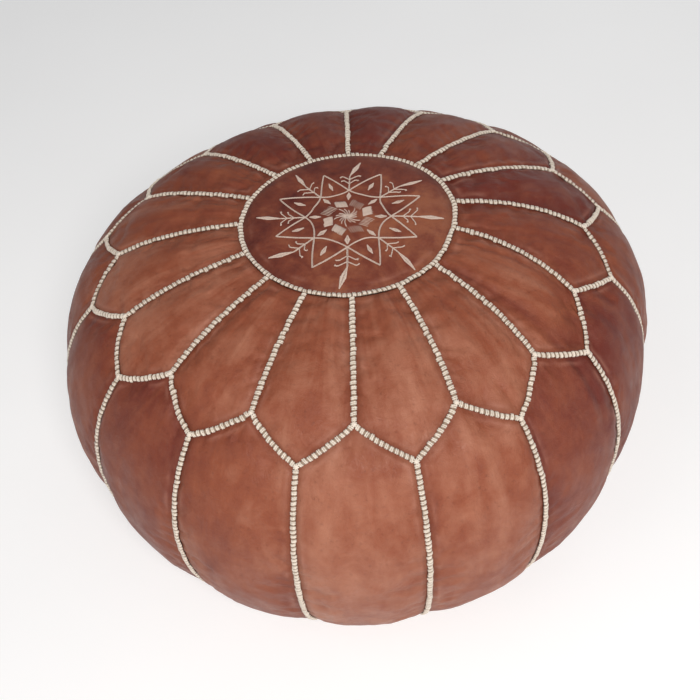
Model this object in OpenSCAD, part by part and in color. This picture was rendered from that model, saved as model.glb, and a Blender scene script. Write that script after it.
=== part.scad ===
// Round leather floor pouf. Sixteen petals fan out from an embroidered medallion,
// sixteen side panels meet them in a zigzag and run down to a two-part base, and a
// zip across the base closes the cover over a stuffed cotton bag.
// The origin is the middle of the base, +Z is up and -Y is the front.

/* [Body] */
// Diameter at the widest ring
pouf_d = 550; // [480:5:660]
// Height at the middle of the top
pouf_h = 335; // [275:5:405]
// Height of the widest ring above the floor
waist_z = 170; // [140:5:205]
// Diameter of the flat that rests on the floor
contact_d = 330; // [320:5:360]
// Fullness of the upper side across, where 2 is an ellipse
upper_full_r = 3.6; // [2.6:0.1:4.4]
// Fullness of the upper side in height, where 2 is an ellipse
upper_full_z = 2.3; // [1.9:0.1:2.8]
// Fullness of the lower side across, where 2 is an ellipse
lower_full_r = 1.7; // [1.5:0.1:2.1]
// Fullness of the lower side in height, where 2 is an ellipse
lower_full_z = 2.1; // [1.8:0.1:2.5]

/* [Panels] */
// Number of petals, and of side panels
panel_count = 16; // [12:1:18]
// Diameter of the medallion
medallion_d = 184; // [150:2:230]
// Diameter of the ring through the upper corners of the zigzag
peak_d = 408; // [370:2:430]
// Diameter of the ring through the tips of the petals
tip_d = 462; // [440:2:480]
// Diameter of the seam round the base
base_seam_d = 390; // [380:2:410]
// Thickness of the leather
leather_t = 1.4; // [1:0.1:2]
// Gap between neighbouring panels
panel_gap = 0.8; // [0.4:0.1:1.2]

/* [Seams] */
// Width of the corded seams
seam_w = 6; // [4:0.5:8]
// Height of the corded seams above the leather
seam_h = 2.2; // [1.5:0.1:3]
// Gap between seams that meet
seam_gap = 0.8; // [0.4:0.1:1.5]
// Height of the embroidery above the leather
thread_h = 0.6; // [0.4:0.1:1]
// Width of the embroidered lines
thread_w = 1.3; // [0.8:0.1:2]

/* [Inner bag] */
// Gap between the leather and the bag
bag_gap = 0.2; // [0.1:0.1:1]
// Thickness of the bag's cotton
bag_t = 0.8; // [0.5:0.1:1.2]
// Gap between the bag and its filling
filling_gap = 0.2; // [0.1:0.1:1]
// Gap between the zip slider and the bag above it
slider_room = 0.8; // [0.5:0.1:2]

/* [Zip] */
// Length of the closed row of teeth
chain_l = 210; // [150:2:220]
// Spacing of the teeth in one row
tooth_pitch = 2.5; // [2.2:0.1:3]
// Length of one tooth along the zip
tooth_l = 1.05; // [0.8:0.05:1.05]
// Width across both rows of teeth
chain_w = 5.8; // [5:0.1:6.4]
// Height of the teeth
chain_h = 3; // [2.4:0.1:3.4]
// Width of each tape
tape_w = 11; // [9:0.5:12]
// Thickness of the tapes
tape_t = 0.7; // [0.5:0.1:0.9]
// Distance from the middle line to the edge of each tape
tape_edge = 1.4; // [1.4:0.1:1.6]
// Length of the slider
slider_l = 11; // [10:0.5:14]
// Width of the slider at its mouth
slider_w = 9.2; // [8.8:0.1:9.6]
// Thickness of the slider's two plates
plate_t = 1.2; // [0.8:0.1:1.5]
// Clearance between the slider and the teeth
slider_gap = 0.35; // [0.3:0.05:0.5]
// Length of the pull tab from its pivot
pull_l = 23; // [18:1:25]
// Width of the pull tab
pull_w = 6.8; // [6:0.1:8]
// Thickness of the pull tab
pull_t = 1.2; // [1:0.1:1.3]
// Height of the hollow in the base that holds the zip
hollow_h = 7.2; // [7:0.1:9]
// Width of the roof of that hollow
hollow_w = 28; // [26:1:32]
// Length of the roof of that hollow
hollow_l = 272; // [270:1:280]
// Width of the sloping sides of that hollow
hollow_run = 12; // [8:1:14]

/* [Hidden] */
$fn = 96;
pouf_r = pouf_d / 2;
contact_r = contact_d / 2;
medallion_r = medallion_d / 2;
base_seam_r = base_seam_d / 2;
dome_h = pouf_h - waist_z;
pitch_deg = 360 / panel_count;
half_pitch = pitch_deg / 2;
front_deg = -90;
far = pouf_d;
t_step = 5;
flat_t = 2 * t_step;

bag_depth = leather_t + bag_gap;
filling_depth = bag_depth + bag_t + filling_gap;

chain_z = hollow_h + leather_t + tape_t / 2;
slider_half_h = chain_h / 2 + slider_gap + plate_t;
hollow_slope = atan(hollow_h / hollow_run);
bag_grow = chain_z + slider_half_h + slider_room - hollow_h;
slot_w = slider_w + 2;
tooth_overlap = 0.8;
tape_slot = 0.1;
stop_l = 2;
stop_gap = 0.5;
post_w = 2.2;
post_x = [0.8, 2.4, 4.2];
chain_half = chain_l / 2;
slider_x = chain_half + slider_l / 2 - 1.5;
tape_l = 2 * (slider_x + slider_l / 2 + stop_gap + stop_l + 8);
slot_l = tape_l - 4;

bail_l = 6.4;
bail_w = 1.6;
bail_t = 0.9;
bail_h = 3.05;
pivot_r = 0.65;
pivot_z = chain_z - slider_half_h - (bail_h - bail_t) / 2;
pull_window_l = 4.2;
pull_window_w = bail_w + 0.8;
pull_hole_d = 2.6;

leather = "sienna";
leather_red = "#8c4a32";
cotton = "beige";
thread = "wheat";
brass = "goldenrod";
tape_colour = "saddlebrown";

function label(i) = i < 10 ? str("0", i) : str(i);

// The outer skin in section, from the top's middle (t = 0) past the widest ring
// (t = 90) to the edge of the flat base (t = 180): two superellipse quarters.
// The middle of the top is level out to flat_t.
function dome_z(t) = waist_z + dome_h * pow(1 - pow(sin(t), upper_full_r), 1 / upper_full_z);
function skin(t) = t <= 90
    ? [pouf_r * sin(t), t <= flat_t ? pouf_h : dome_z(t)]
    : [contact_r + (pouf_r - contact_r) * pow(sin(t), 2 / lower_full_r),
       waist_z * (1 - pow(-cos(t), 2 / lower_full_z))];

function skin_step(t) = skin(min(t + 1, 180)) - skin(max(t - 1, 0));
function skin_normal(t) =
    t <= flat_t ? [0, 1]
    : t == 180 ? [0, -1]
    : let (d = skin_step(t)) [-d[1], d[0]] / norm(d);
function skin_at(t, out) = skin(t) + out * skin_normal(t);
function upper_t(r) = asin(r / pouf_r);
function lower_t(r) =
    180 - asin(pow((r - contact_r) / (pouf_r - contact_r), lower_full_r / 2));
function step_down(t) = t_step * floor(t / t_step);
function step_up(t) = t_step * ceil(t / t_step);
function ring_point(r, deg) = [r * cos(deg), r * sin(deg), skin(upper_t(r))[1] - waist_z];

// Unit normal of the plane through the pouf's middle and two points of its skin
function cut_normal(a, b) =
    let (n = cross(a, b), u = n / norm(n)) u[2] < 0 ? -u : u;
peak_mid = ring_point(peak_d / 2, 0);
tip_mid = ring_point(tip_d / 2, 0);
peak_side = ring_point(peak_d / 2, half_pitch);
tip_side = ring_point(tip_d / 2, half_pitch);
tip_cut = cut_normal(tip_mid, peak_side);
peak_cut = cut_normal(peak_mid, tip_side);

module band(out_a, out_b, t_a, t_b) {
    rotate_extrude()
        polygon(concat(
            [for (t = [t_a:t_step:t_b]) skin_at(t, out_a)],
            [for (t = [t_b:-t_step:t_a]) skin_at(t, out_b)]
        ));
}

// Keeps what is above (side = 1) or below (side = -1) a cut plane, moved that way
module half_space(n, side, shift) {
    translate([0, 0, waist_z])
        rotate([0, acos(n[2]), atan2(n[1], n[0])])
            translate([-far, -far, side > 0 ? shift : -shift - far])
                cube([2 * far, 2 * far, far]);
}

module above_cuts(n, shift) {
    intersection() {
        half_space(n, 1, shift);
        half_space([n[0], -n[1], n[2]], 1, shift);
    }
}

module below_cuts(n, shift) {
    intersection() {
        half_space(n, -1, shift);
        half_space([n[0], -n[1], n[2]], -1, shift);
    }
}

// One panel's wedge round +X, from the axis outward, drawn in by half the gap
module wedge(half_deg, gap) {
    apex = gap / 2 / sin(half_deg);
    reach = far * tan(half_deg);
    linear_extrude(pouf_h + 50)
        polygon([[apex, 0], [apex + far, -reach], [apex + far, reach]]);
}

module slab(w) {
    translate([0, -w / 2, 0])
        cube([far, w, pouf_h + 50]);
}

module base_cylinder(r) {
    translate([0, 0, -1])
        cylinder(r = r, h = waist_z / 2);
}

module top_cylinder(r) {
    translate([0, 0, waist_z])
        cylinder(r = r, h = pouf_h);
}

module around(n, offset_deg) {
    for (i = [0:n - 1])
        rotate(front_deg - offset_deg - i * pitch_deg)
            children();
}

module medallion() {
    color(leather_red)
        intersection() {
            band(0, -leather_t, 0, step_up(upper_t(medallion_r)));
            top_cylinder(medallion_r - panel_gap / 2);
        }
}

module petal(i) {
    color(i % 3 == 0 ? leather_red : leather)
        rotate(front_deg - (i - 0.5) * pitch_deg)
            difference() {
                intersection() {
                    band(0, -leather_t, step_down(upper_t(medallion_r)), step_up(upper_t(tip_d / 2)));
                    wedge(half_pitch, panel_gap);
                    above_cuts(tip_cut, panel_gap / 2);
                }
                top_cylinder(medallion_r + panel_gap / 2);
            }
}

module side_panel(i) {
    color(i % 4 == 1 ? leather_red : leather)
        rotate(front_deg - (i - 1) * pitch_deg)
            difference() {
                intersection() {
                    band(0, -leather_t, step_down(upper_t(peak_d / 2)), step_up(lower_t(base_seam_r)));
                    wedge(half_pitch, panel_gap);
                    below_cuts(peak_cut, panel_gap / 2);
                }
                base_cylinder(base_seam_r + panel_gap / 2);
            }
}

// The hollow that the zip lies in, grown outward by grow and started at z_from
module zip_hollow(grow, z_from) {
    top = hollow_h + grow;
    intersection() {
        rotate([90, 0, 90])
            linear_extrude(far, center = true)
                hollow_section(hollow_w / 2, grow, z_from, top);
        rotate([90, 0, 0])
            linear_extrude(far, center = true)
                hollow_section(hollow_l / 2, grow, z_from, top);
    }
}

module hollow_section(half, grow, z_from, z_to) {
    low = half + hollow_run * (hollow_h - z_from) / hollow_h + grow / sin(hollow_slope);
    high = half + hollow_run * (hollow_h - z_to) / hollow_h + grow / sin(hollow_slope);
    polygon([[-low, z_from], [low, z_from], [high, z_to], [-high, z_to]]);
}

// A dish from the base's middle up the lower side to t_to, with the zip's hollow
module dish(depth, thick, t_to, grow) {
    difference() {
        union() {
            rotate_extrude()
                polygon(concat(
                    [[0, depth]],
                    [for (t = [180:-t_step:t_to]) skin_at(t, -depth)],
                    [for (t = [t_to:t_step:180]) skin_at(t, -depth - thick)],
                    [[0, depth + thick]]
                ));
            zip_hollow(grow + thick, depth);
        }
        zip_hollow(grow, -1);
    }
}

module base_panel(side) {
    color(leather)
        difference() {
            intersection() {
                dish(0, leather_t, step_down(lower_t(base_seam_r)), 0);
                base_cylinder(base_seam_r - panel_gap / 2);
                translate([-far, side > 0 ? panel_gap / 2 : -panel_gap / 2 - far, -1])
                    cube([2 * far, far, pouf_h]);
            }
            translate([-slot_l / 2, -slot_w / 2, -1])
                cube([slot_l, slot_w, chain_z + 1]);
        }
}

module medallion_seam() {
    r_in = medallion_r - seam_w / 2;
    r_out = medallion_r + seam_w / 2;
    color(thread)
        intersection() {
            band(0, seam_h, step_down(upper_t(r_in)), step_up(upper_t(r_out)));
            difference() {
                top_cylinder(r_out);
                top_cylinder(r_in);
            }
        }
}

module petal_seams() {
    color(thread)
        around(panel_count, 0)
            difference() {
                intersection() {
                    band(0, seam_h, step_down(upper_t(medallion_r)), step_up(upper_t(peak_d / 2)));
                    slab(seam_w);
                    above_cuts(peak_cut, seam_w / 2 + seam_gap);
                }
                top_cylinder(medallion_r + seam_w / 2 + seam_gap);
            }
}

module zigzag_seam() {
    color(thread)
        around(panel_count, half_pitch)
            for (side = [-1, 1])
                intersection() {
                    band(0, seam_h, step_down(upper_t(peak_d / 2) - 2), step_up(upper_t(tip_d / 2) + 2));
                    half_space([tip_cut[0], side * tip_cut[1], tip_cut[2]], 1, -seam_w / 2);
                    half_space([tip_cut[0], side * tip_cut[1], tip_cut[2]], -1, -seam_w / 2);
                    rotate(side * half_pitch / 2)
                        wedge(half_pitch / 2, seam_gap);
                }
}

module side_seams() {
    color(thread)
        around(panel_count, half_pitch)
            difference() {
                intersection() {
                    band(0, seam_h, step_down(upper_t(peak_d / 2)), step_up(lower_t(base_seam_r)));
                    slab(seam_w);
                    below_cuts(tip_cut, seam_w / 2 + seam_gap);
                }
                base_cylinder(base_seam_r + seam_w / 2 + seam_gap);
            }
}

module base_seam() {
    r_in = base_seam_r - seam_w / 2;
    r_out = base_seam_r + seam_w / 2;
    color(thread)
        intersection() {
            band(0, seam_h, step_down(lower_t(r_out)), step_up(lower_t(r_in)));
            difference() {
                base_cylinder(r_out);
                base_cylinder(r_in);
            }
        }
}

// Embroidery radii are shares of the medallion's, so the pattern fits any medallion
star_tip = 0.71 * medallion_r;
star_waist = 0.345 * medallion_r;
branch_deg = 45;

function polar(r, deg) = [r * cos(deg), r * sin(deg)];
function run(points, i) =
    points[min(i + 1, len(points) - 1)] - points[max(i - 1, 0)];
function beside(points, i, out) =
    let (d = run(points, i)) points[i] + out * [-d[1], d[0]] / norm(d);

module stitched_line(points, w) {
    last = len(points) - 1;
    polygon(concat(
        [for (i = [0:last]) beside(points, i, w / 2)],
        [for (i = [last:-1:0]) beside(points, i, -w / 2)]
    ));
}

// A leaf of two arcs, lying along +X from r_in to r_out
module leaf(r_in, r_out, w) {
    steps = 6;
    edge = [for (i = [0:steps]) [r_in + (r_out - r_in) * i / steps, w / 2 * sin(180 * i / steps)]];
    polygon(concat(edge, [for (i = [steps - 1:-1:1]) [edge[i][0], -edge[i][1]]]));
}

module raised_thread() {
    color(thread)
        intersection() {
            band(0, thread_h, 0, step_up(upper_t(medallion_r)));
            translate([0, 0, waist_z])
                linear_extrude(pouf_h)
                    intersection() {
                        circle(medallion_r - seam_w / 2 - 1);
                        children();
                    }
        }
}

module embroidered_star() {
    raised_thread()
        for (k = [0:7])
            rotate((k + 0.5) * branch_deg)
                stitched_line([for (a = [-45:7.5:45])
                    polar(star_waist + (star_tip - star_waist) * pow(abs(a) / 45, 2.7), a)], thread_w);
}

module embroidered_branches() {
    raised_thread()
        for (k = [0:7])
            rotate(k * branch_deg) {
                stitched_line([[0.43 * medallion_r, 0], [0.635 * medallion_r, 0]], thread_w);
                leaf(0.645 * medallion_r, 0.87 * medallion_r, 0.075 * medallion_r);
                for (side = [-1, 1], r = [0.49, 0.57])
                    translate([r * medallion_r, 0])
                        rotate(side * 48) {
                            stitched_line([[0.01 * medallion_r, 0], [0.1 * medallion_r, 0]], thread_w);
                            translate([0.11 * medallion_r, 0])
                                circle(0.018 * medallion_r, $fn = 16);
                        }
            }
}

module embroidered_leaves() {
    raised_thread()
        for (k = [0:7])
            rotate(k * branch_deg) {
                leaf(0.225 * medallion_r, 0.325 * medallion_r, 0.05 * medallion_r);
                rotate(branch_deg / 2)
                    leaf(0.43 * medallion_r, 0.56 * medallion_r, 0.05 * medallion_r);
            }
}

module embroidered_rosette() {
    raised_thread()
        for (k = [0:7])
            rotate((k + 0.5) * branch_deg) {
                leaf(0.13 * medallion_r, 0.225 * medallion_r, 0.085 * medallion_r);
                for (side = [-1, 1])
                    rotate(side * branch_deg / 4)
                        stitched_line([[0.03 * medallion_r, 0], [0.11 * medallion_r, 0]], thread_w / 2);
            }
}

module zipper_tape(side) {
    color(tape_colour)
        translate([-tape_l / 2, side > 0 ? tape_edge : -tape_edge - tape_w, chain_z - tape_t / 2])
            cube([tape_l, tape_w, tape_t]);
}

// One row of teeth. Each clamps its tape's edge and reaches across between two others.
module zipper_teeth(side) {
    count = floor(chain_l / tooth_pitch);
    start = -count * tooth_pitch / 2 + (side > 0 ? 0.75 : 0.25) * tooth_pitch;
    slot_h = tape_t / 2 + tape_slot;
    color(brass)
        for (i = [0:count - 1])
            translate([start + i * tooth_pitch - tooth_l / 2, 0, chain_z])
                rotate([90, 0, 90])
                    linear_extrude(tooth_l)
                        scale_side(side)
                            polygon([
                                [-tooth_overlap, -chain_h / 2], [chain_w / 2, -chain_h / 2],
                                [chain_w / 2, -slot_h], [tape_edge - tape_slot, -slot_h],
                                [tape_edge - tape_slot, slot_h], [chain_w / 2, slot_h],
                                [chain_w / 2, chain_h / 2], [-tooth_overlap, chain_h / 2]
                            ]);
}

module scale_side(side) {
    if (side > 0) {
        children();
    } else {
        mirror([1, 0])
            children();
    }
}

// A metal clamp round the tapes, wide as the chain, with room for each tape
module stop_block(x, y_from, y_to) {
    slot_h = tape_t + 2 * tape_slot;
    difference() {
        translate([x, y_from, chain_z - chain_h / 2])
            cube([stop_l, y_to - y_from, chain_h]);
        for (side = [-1, 1])
            translate([x - 1, side > 0 ? tape_edge - tape_slot : -tape_edge + tape_slot - tape_w,
                       chain_z - slot_h / 2])
                cube([stop_l + 2, tape_w, slot_h]);
    }
}

module zipper_stops() {
    end_x = slider_x + slider_l / 2 + stop_gap;
    color(brass) {
        stop_block(end_x, 0.6, chain_w / 2);
        stop_block(end_x, -chain_w / 2, -0.6);
        stop_block(-chain_half - stop_gap - stop_l, -chain_w / 2, chain_w / 2);
    }
}

// Two plates joined by the post between the parted rows, with flanges over the tapes
module zipper_slider() {
    mouth = slider_w / 2;
    tail = chain_w / 2 + slider_gap + 0.55;
    half = slider_l / 2;
    channel_h = chain_h + 2 * slider_gap;
    tape_room = tape_t + 2 * slider_gap;
    color(brass)
        translate([slider_x, 0, chain_z]) {
            difference() {
                translate([0, 0, -slider_half_h])
                    linear_extrude(2 * slider_half_h)
                        polygon([
                            [-half, -tail], [1, -tail], [half - 1.5, -mouth], [half, -mouth + 1.2],
                            [half, mouth - 1.2], [half - 1.5, mouth], [1, tail], [-half, tail]
                        ]);
                translate([-half - 1, -chain_w / 2 - slider_gap, -channel_h / 2])
                    cube([slider_l + 2, chain_w + 2 * slider_gap, channel_h]);
                translate([-half - 1, -slider_w, -tape_room / 2])
                    cube([slider_l + 2, 2 * slider_w, tape_room]);
            }
            translate([0, 0, -slider_half_h])
                linear_extrude(2 * slider_half_h)
                    polygon([
                        [post_x[0], 0], [post_x[1], -post_w / 2], [post_x[2], -post_w / 3],
                        [post_x[2], post_w / 3], [post_x[1], post_w / 2]
                    ]);
            slider_bail();
        }
}

// The low arch under the slider that the pull tab hangs from
module slider_bail() {
    leg = 1;
    translate([0, bail_w / 2, -slider_half_h])
        rotate([90, 0, 0])
            linear_extrude(bail_w)
                polygon([
                    [-bail_l / 2, 0], [-bail_l / 2, -bail_h], [bail_l / 2, -bail_h], [bail_l / 2, 0],
                    [bail_l / 2 - leg, 0], [bail_l / 2 - leg, bail_t - bail_h],
                    [leg - bail_l / 2, bail_t - bail_h], [leg - bail_l / 2, 0]
                ]);
}

module zipper_pull() {
    round_r = pull_w / 2;
    color(brass)
        translate([slider_x, 0, pivot_z]) {
            translate([0, 0, -pull_t / 2])
                linear_extrude(pull_t)
                    difference() {
                        union() {
                            translate([round_r - pull_l, -pull_w / 2])
                                square([pull_l - round_r, pull_w]);
                            translate([round_r - pull_l, 0])
                                circle(round_r);
                        }
                        translate([-pull_window_l, -pull_window_w / 2])
                            square([pull_window_l + 1, pull_window_w]);
                        translate([round_r - pull_l, 0])
                            circle(d = pull_hole_d);
                    }
            rotate([90, 0, 0])
                cylinder(r = pivot_r, h = pull_w, center = true);
        }
}

module inner_bag_top() {
    color(cotton)
        band(-bag_depth, -bag_depth - bag_t, 0, 90);
}

module inner_bag_bottom() {
    color(cotton)
        dish(bag_depth, bag_t, 90, bag_grow);
}

module filling() {
    color("ivory")
        difference() {
            rotate_extrude()
                polygon(concat(
                    [[0, filling_depth]],
                    [for (t = [180:-t_step:0]) skin_at(t, -filling_depth)]
                ));
            zip_hollow(bag_grow + bag_t + filling_gap, -1);
        }
}

medallion();
for (i = [1:panel_count])
    petal(i);
for (i = [1:panel_count])
    side_panel(i);
base_panel(-1);  // base_panel_front
base_panel(1);  // base_panel_back
medallion_seam();
petal_seams();
zigzag_seam();
side_seams();
base_seam();
embroidered_star();
embroidered_branches();
embroidered_leaves();
embroidered_rosette();
zipper_tape(-1);  // zipper_tape_front
zipper_tape(1);  // zipper_tape_back
zipper_teeth(-1);  // zipper_teeth_front
zipper_teeth(1);  // zipper_teeth_back
zipper_stops();
zipper_slider();
zipper_pull();
inner_bag_top();
inner_bag_bottom();
filling();
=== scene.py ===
import math

import bpy
import numpy as np
from mathutils import Matrix, Vector


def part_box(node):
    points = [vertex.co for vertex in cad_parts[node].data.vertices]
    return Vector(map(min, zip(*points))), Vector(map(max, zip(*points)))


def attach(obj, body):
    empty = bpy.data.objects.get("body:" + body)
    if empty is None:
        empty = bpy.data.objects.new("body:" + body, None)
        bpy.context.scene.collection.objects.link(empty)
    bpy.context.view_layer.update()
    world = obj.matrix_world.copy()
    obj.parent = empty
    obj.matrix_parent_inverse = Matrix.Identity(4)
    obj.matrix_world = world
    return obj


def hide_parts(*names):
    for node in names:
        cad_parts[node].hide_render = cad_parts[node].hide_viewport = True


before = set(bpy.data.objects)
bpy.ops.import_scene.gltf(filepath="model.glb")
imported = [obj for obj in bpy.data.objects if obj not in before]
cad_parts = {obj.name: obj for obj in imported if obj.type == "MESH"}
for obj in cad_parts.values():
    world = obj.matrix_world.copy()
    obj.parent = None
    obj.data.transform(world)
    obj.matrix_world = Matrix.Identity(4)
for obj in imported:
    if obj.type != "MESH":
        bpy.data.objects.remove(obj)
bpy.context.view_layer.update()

# -------------------------------- sizes, in metres

MM = 0.001
BODY = "pouf"
PANELS = 16
FRONT = -math.pi / 2
HALF_GAP = 0.4 * MM

# The pouf's section: two superellipse quarters that meet at the waist
RADIUS = 0.275
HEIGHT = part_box("medallion")[1].z
WAIST_Z = 0.170
UPPER_FULL = (3.6, 2.3)
LOWER_FULL = (1.7, 2.1)
CONTACT_R = 0.165

# Where the seams run: their radius on the skin
MEDALLION_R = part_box("medallion")[1].x + HALF_GAP
MEDALLION_SHIFT = 1.3 * MM
BASE_SEAM_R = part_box("base_panel_front")[1].x + HALF_GAP
PEAK_R = 0.204
TIP_R = 0.231

# The leather's thickness, how deep its seams pull in, how far it has settled, and the lumps of
# the filling under it
LEATHER_T = 1.4 * MM
SEAM_SINK = 3.2 * MM
SETTLED = 0.8 * MM
LUMPS = 1.2 * MM
LUMP_SIZE = 0.11
BAG_T = 0.8 * MM

# The zip's hollow and slot in the base, and the room for them in the inner bag
HOLLOW_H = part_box("zipper_tape_front")[0].z - LEATHER_T
HOLLOW_HALF = Vector((0.136, 0.014))
HOLLOW_RUN = 0.012
SLOT_HALF = Vector((
    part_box("zipper_tape_front")[1].x - 2 * MM,
    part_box("zipper_slider")[1].y + 1 * MM,
))
BAG_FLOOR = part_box("zipper_slider")[1].z + 1.6 * MM
BAG_HOLLOW_HALF = Vector((0.15, 0.03))
BAG_HOLLOW_RUN = 0.02

# The whip stitches, the cord under them and the embroidery thread
STITCH_PITCH = 4.1 * MM
STITCH_L = 4.8 * MM
STRAND_R = 0.74 * MM
STRAND_APART = 0.74 * MM
KNOT_REACH = 2.7 * MM
SEAM_RISE = 2.3 * MM
CORE_W = 3.6 * MM
CORE_H = 2.2 * MM
CORE_RISE = SEAM_RISE - 1.0 * MM
STRAND_RISE = SEAM_RISE - 0.9 * MM
KNOT_RISE = SEAM_RISE - 0.3 * MM
STRAND_ARCH = 1.15 * MM
KNOT_ARCH = 1.0 * MM
STRAND_SIDES = 6
CORE_SIDES = 10
THREAD_R = 0.29 * MM
SATIN_PITCH = 0.66 * MM

# The cover's grid, and the finer one made from it after the cloth simulation
COLS_PER_PANEL = 20
COLS = PANELS * COLS_PER_PANEL
PETAL_ROWS = 28
SIDE_ROWS = 56
FINER = 2
FINE_PANEL = COLS_PER_PANEL * FINER
FINE_COLS = COLS * FINER
FINE_ZIG = PETAL_ROWS * FINER
CLOTH_FRAMES = 14
CLOTH_SLACK = 0.02
MOST_SWELL = 12 * MM

# Where each petal seam leaves the medallion, in degrees round from its even place
SEAM_DRIFT = [1, 0, 0, 0, -1, 0, 0, -1, -1, 2, 1, 5, 9, 11, 4, 3]

rng = np.random.default_rng(7)


# -------------------------------- the skin

def skin(t):
    """Radius and height of the pouf's section at t degrees, 0 at the top and 180 at the base."""
    upper = np.radians(np.minimum(t, 90))
    lower = np.radians(np.maximum(t, 90))
    full_r, full_z = UPPER_FULL
    rise = (HEIGHT - WAIST_Z) * (1 - np.sin(upper) ** full_r).clip(0) ** (1 / full_z)
    full_r, full_z = LOWER_FULL
    r_low = CONTACT_R + (RADIUS - CONTACT_R) * np.sin(lower).clip(0) ** (2 / full_r)
    z_low = WAIST_Z * (1 - (-np.cos(lower)).clip(0) ** (2 / full_z))
    above = t <= 90
    return np.where(above, RADIUS * np.sin(upper), r_low), np.where(above, WAIST_Z + rise, z_low)


SKIN_T = np.linspace(0, 180, 2881)
SKIN_R, SKIN_Z = skin(SKIN_T)
SKIN_S = np.concatenate([[0], np.cumsum(np.hypot(np.diff(SKIN_R), np.diff(SKIN_Z)))])
SKIN_DR = np.gradient(SKIN_R, SKIN_S)
SKIN_DZ = np.gradient(SKIN_Z, SKIN_S)


def arc_at(r, upper=True):
    """Distance down the section from the top's middle to radius r."""
    part = SKIN_T <= 90 if upper else SKIN_T >= 90
    sign = 1 if upper else -1
    return float(np.interp(sign * r, sign * SKIN_R[part], SKIN_S[part]))


def smooth(x):
    """Rises smoothly from 0 to 1 as x does."""
    x = np.clip(x, 0, 1)
    return x * x * (3 - 2 * x)


def unit(vectors):
    return vectors / np.linalg.norm(vectors, axis=-1, keepdims=True).clip(1e-12)


def uneven(points):
    """The slight unevenness of a hand-filled pouf: low waves round it in width and height."""
    phi = np.arctan2(points[..., 1], points[..., 0]) - math.radians(2)
    r = np.hypot(points[..., 0], points[..., 1])
    wave = 0.021 * np.cos(2 * phi) + 0.005 * np.sin(2 * phi)
    wave += 0.011 * np.sin(3 * phi) - 0.014 * np.sin(phi)
    wave -= 0.02 * np.exp(-((phi + 0.37) / 0.27) ** 2)
    near_floor = smooth((0.05 - points[..., 2]) / 0.03)
    wave *= 1 - near_floor * smooth((0.195 - r) / 0.04)
    lift = 0.006 * np.cos(phi) - 0.006 * np.sin(phi) - 0.004 * np.cos(2 * phi)
    lift += 0.008 * np.sin(2 * phi)
    out = points.copy()
    out[..., :2] *= 1 + wave[..., None]
    out[..., 2] *= 1 + lift * r / RADIUS
    return out


def on_skin(phi, s, out=0.0):
    """Points and normals of the uneven skin at azimuth phi and distance s down it."""
    phi, s, out = np.broadcast_arrays(phi, s, out)
    r = np.interp(s, SKIN_S, SKIN_R)
    z = np.interp(s, SKIN_S, SKIN_Z)
    dr = np.interp(s, SKIN_S, SKIN_DR)
    dz = np.interp(s, SKIN_S, SKIN_DZ)
    size = np.hypot(dr, dz)
    nr, nz = -dz / size, dr / size
    cos, sin = np.cos(phi), np.sin(phi)
    normals = np.stack([nr * cos, nr * sin, nz], -1)
    points = np.stack([r * cos, r * sin, z], -1)
    return uneven(points) + normals * out[..., None], normals


S_MEDALLION = arc_at(MEDALLION_R)
S_PEAK = arc_at(PEAK_R)
S_TIP = arc_at(TIP_R)
S_WAIST = arc_at(RADIUS)
S_BASE = arc_at(BASE_SEAM_R, upper=False)


# -------------------------------- noise

LATTICE_N = 32
LATTICE = np.random.default_rng(3).uniform(-1, 1, (LATTICE_N,) * 3)


def noise(points, size, octaves, seed):
    """Smooth value noise from -1 to 1 whose lumps are size metres across."""
    total, weight = 0, 0
    for octave in range(octaves):
        q = points / size * 2 ** octave + 7.3 * seed + 3.1 * octave
        cell = np.floor(q).astype(int)
        f = q - cell
        f = f * f * (3 - 2 * f)
        value = 0
        for corner in np.ndindex(2, 2, 2):
            share = np.prod(np.where(corner, f, 1 - f), axis=-1)
            i, j, k = np.moveaxis((cell + corner) % LATTICE_N, -1, 0)
            value = value + share * LATTICE[i, j, k]
        total = total + value * 0.5 ** octave
        weight += 0.5 ** octave
    return total / weight


# -------------------------------- the cover's grid

def bump(x):
    """Rises from 0 at either end of 0..1 to 1 in the middle."""
    return (1 - (2 * x - 1) ** 2).clip(0) ** 0.6


def cover_grid():
    """Azimuth, distance down the skin, seam mask and starting puff for the cover's grid."""
    columns = np.arange(COLS)
    across = (columns % COLS_PER_PANEL) / COLS_PER_PANEL
    peakness = np.abs(2 * across - 1)
    rounding = 1.04 + 0.22 * smooth(-np.cos(FRONT - columns * 2 * math.pi / COLS))
    s_zig = S_TIP + (S_PEAK - S_TIP) * peakness ** rounding
    down_petal = np.linspace(0, 1, PETAL_ROWS + 1)[:, None]
    down_side = np.linspace(0, 1, SIDE_ROWS + 1)[1:, None]
    s = np.concatenate([
        S_MEDALLION + (s_zig - S_MEDALLION) * down_petal,
        s_zig + (S_BASE - s_zig) * down_side,
    ])
    fade = np.concatenate([1 - down_petal, 0 * down_side])
    drift = np.append(SEAM_DRIFT, SEAM_DRIFT[0])
    drift = np.radians(np.interp(columns / COLS_PER_PANEL, np.arange(PANELS + 1), drift))
    phi = FRONT - columns * 2 * math.pi / COLS + drift * fade
    s = s - MEDALLION_SHIFT * np.sin(phi) * fade
    rows = np.arange(PETAL_ROWS + SIDE_ROWS + 1)[:, None]
    seam = (rows == 0) | (rows == PETAL_ROWS) | (rows == rows[-1])
    seam = seam | ((rows < PETAL_ROWS) & (columns % COLS_PER_PANEL == 0))
    seam = seam | ((rows > PETAL_ROWS) & (columns % COLS_PER_PANEL == COLS_PER_PANEL // 2))
    puff = np.concatenate([
        bump(across) * bump(down_petal),
        bump((across + 0.5) % 1) * bump(down_side),
    ])
    return phi, s, seam, puff


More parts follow.
